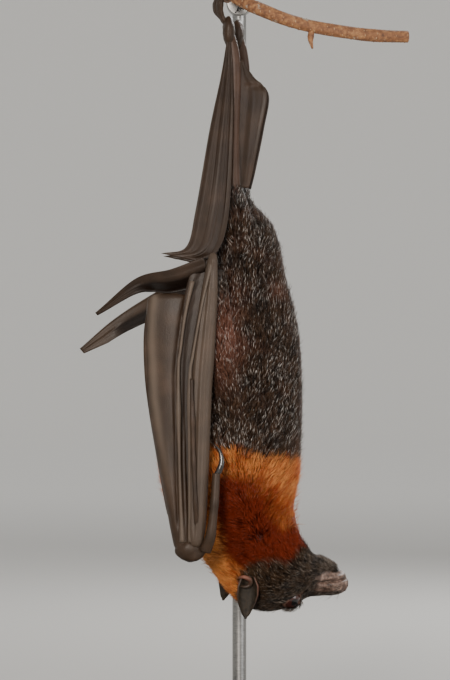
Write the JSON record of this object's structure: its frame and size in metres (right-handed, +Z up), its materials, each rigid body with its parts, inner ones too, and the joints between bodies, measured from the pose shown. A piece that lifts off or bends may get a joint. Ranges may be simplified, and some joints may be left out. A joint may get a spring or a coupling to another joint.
{
  "type": "fruit bat",
  "caption": "Life-size flying fox hanging upside down by both feet from a short twig, wings folded at its sides, held by a display stand.",
  "frame": {"origin": "centre of the stand base's underside", "axes": "+Z up, +X towards the bat's belly and muzzle, -Y towards the bat's left side"},
  "size_m": [0.23, 0.2, 0.419],
  "materials": {
    "body_coat": "short dense fur, blackish brown with silver-tipped hairs",
    "mantle_coat": "thick fluffy fur, bright orange at the edges, rust inside",
    "face_coat": "very short dark brown fur with bare pinkish grey lips",
    "wing_skin": "thin bare skin, grey-brown, satin, finely wrinkled",
    "ear_skin": "bare dark skin, pinkish inside, matt",
    "eye": "wet, dark reddish brown",
    "claw": "polished black horn",
    "bark": "thin reddish tan bark, matt, slightly rough",
    "stand_steel": "satin brushed steel",
    "stand_base": "smooth satin black"
  },
  "bodies": {
    "root": {"arm_membrane_left": "wing_skin", "arm_membrane_right": "wing_skin", "belly": "body_coat", "chest": "body_coat", "ear_left": "ear_skin", "ear_right": "ear_skin", "eye_left": "eye", "eye_right": "eye", "finger_2_left": "wing_skin", "finger_2_right": "wing_skin", "finger_3_left": "wing_skin", "finger_3_right": "wing_skin", "finger_4_left": "wing_skin", "finger_4_right": "wing_skin", "foot_left": "wing_skin", "foot_right": "wing_skin", "forearm_left": "wing_skin", "forearm_right": "wing_skin", "hand_left": "wing_skin", "hand_membrane_left": "wing_skin", "hand_membrane_right": "wing_skin", "hand_right": "wing_skin", "head": "face_coat", "jaw": "face_coat", "neck": "mantle_coat", "perch_bud": "bark", "perch_front": "bark", "perch_rear": "bark", "rump": "body_coat", "shin_left": "wing_skin", "shin_right": "wing_skin", "side_membrane_left": "wing_skin", "side_membrane_right": "wing_skin", "stand_base": "stand_base", "stand_clamp": "stand_steel", "stand_rod": "stand_steel", "tail_membrane_left": "wing_skin", "tail_membrane_right": "wing_skin", "thigh_left": "body_coat", "thigh_right": "body_coat", "thumb_claw_left": "claw", "thumb_claw_right": "claw", "thumb_left": "wing_skin", "thumb_right": "wing_skin", "upper_arm_left": "body_coat", "upper_arm_right": "body_coat", "wing_tip_left": "wing_skin", "wing_tip_right": "wing_skin"}
  },
  "joints": []
}
